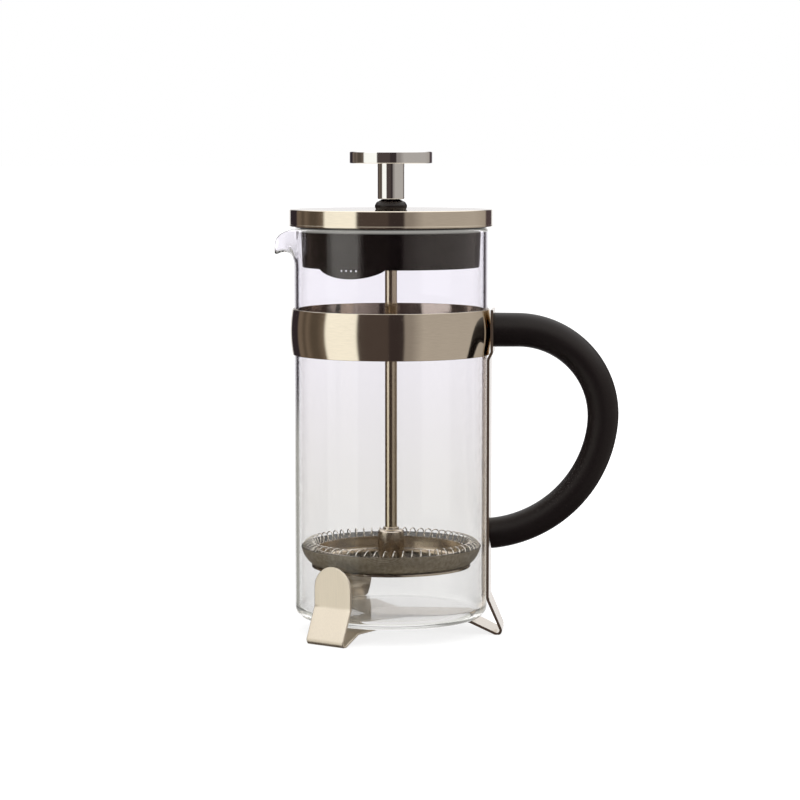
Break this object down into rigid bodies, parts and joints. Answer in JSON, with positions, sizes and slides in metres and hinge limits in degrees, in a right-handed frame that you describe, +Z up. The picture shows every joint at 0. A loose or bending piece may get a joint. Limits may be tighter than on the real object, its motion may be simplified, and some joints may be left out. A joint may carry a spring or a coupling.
{
  "type": "french press",
  "caption": "Small french press: straight glass beaker with a pouring lip in a bent-strip steel frame, black loop handle, flat steel lid, round-knobbed plunger and spring-rimmed mesh filter.",
  "frame": {"origin": "on the beaker's axis, on the table under the feet", "axes": "+Z up along the beaker's axis, +X towards the handle, -X towards the spout"},
  "size_m": [0.1286, 0.0814, 0.1791],
  "materials": {
    "polished_steel": "polished stainless steel with fine drawing lines",
    "spring_steel": "bright drawn wire",
    "chrome": "bright mirror chrome",
    "black_plastic": "fine satin moulded black plastic",
    "borosilicate_glass": "clear with a faint grey edge",
    "brass": "turned and knurled",
    "steel_mesh": "fine woven wire"
  },
  "bodies": {
    "frame": {"band": "polished_steel", "handle_strap": "polished_steel", "front_feet": "polished_steel", "base_rivet": "polished_steel", "handle_grip": "black_plastic", "handle_inserts": "brass", "upper_screw": "polished_steel", "lower_screw": "polished_steel"},
    "beaker": {"beaker": "borosilicate_glass"},
    "lid": {"lid_cover": "polished_steel", "rod_bush": "black_plastic", "bush_nut": "polished_steel"},
    "strainer": {"strainer_insert": "black_plastic"},
    "plunger": {"plunger_rod": "chrome", "knob_stem": "chrome", "knob_disc": "chrome"},
    "filter": {"filter_nut": "polished_steel", "perforated_plate": "polished_steel", "mesh_screen": "steel_mesh", "spring_plate": "polished_steel", "coil_spring": "spring_steel", "filter_hub": "polished_steel"}
  },
  "joints": [
    {"name": "beaker_lift", "type": "slide", "parent": "frame", "child": "beaker", "axis": [0, 0, 1], "range_m": [0, 0.125]},
    {"name": "lid_lift", "type": "slide", "parent": "beaker", "child": "lid", "axis": [0, 0, 1], "range_m": [0, 0.14]},
    {"name": "lid_turn", "type": "hinge", "parent": "lid", "child": "strainer", "pos_m": [0, 0, 0.1515], "axis": [0, 0, 1], "continuous": true},
    {"name": "plunger_slide", "type": "slide", "parent": "lid", "child": "plunger", "axis": [0, 0, 1], "range_m": [0, 0.095]},
    {"name": "filter_turn", "type": "hinge", "parent": "plunger", "child": "filter", "pos_m": [0, 0, 0.03], "axis": [0, 0, 1], "continuous": true}
  ]
}
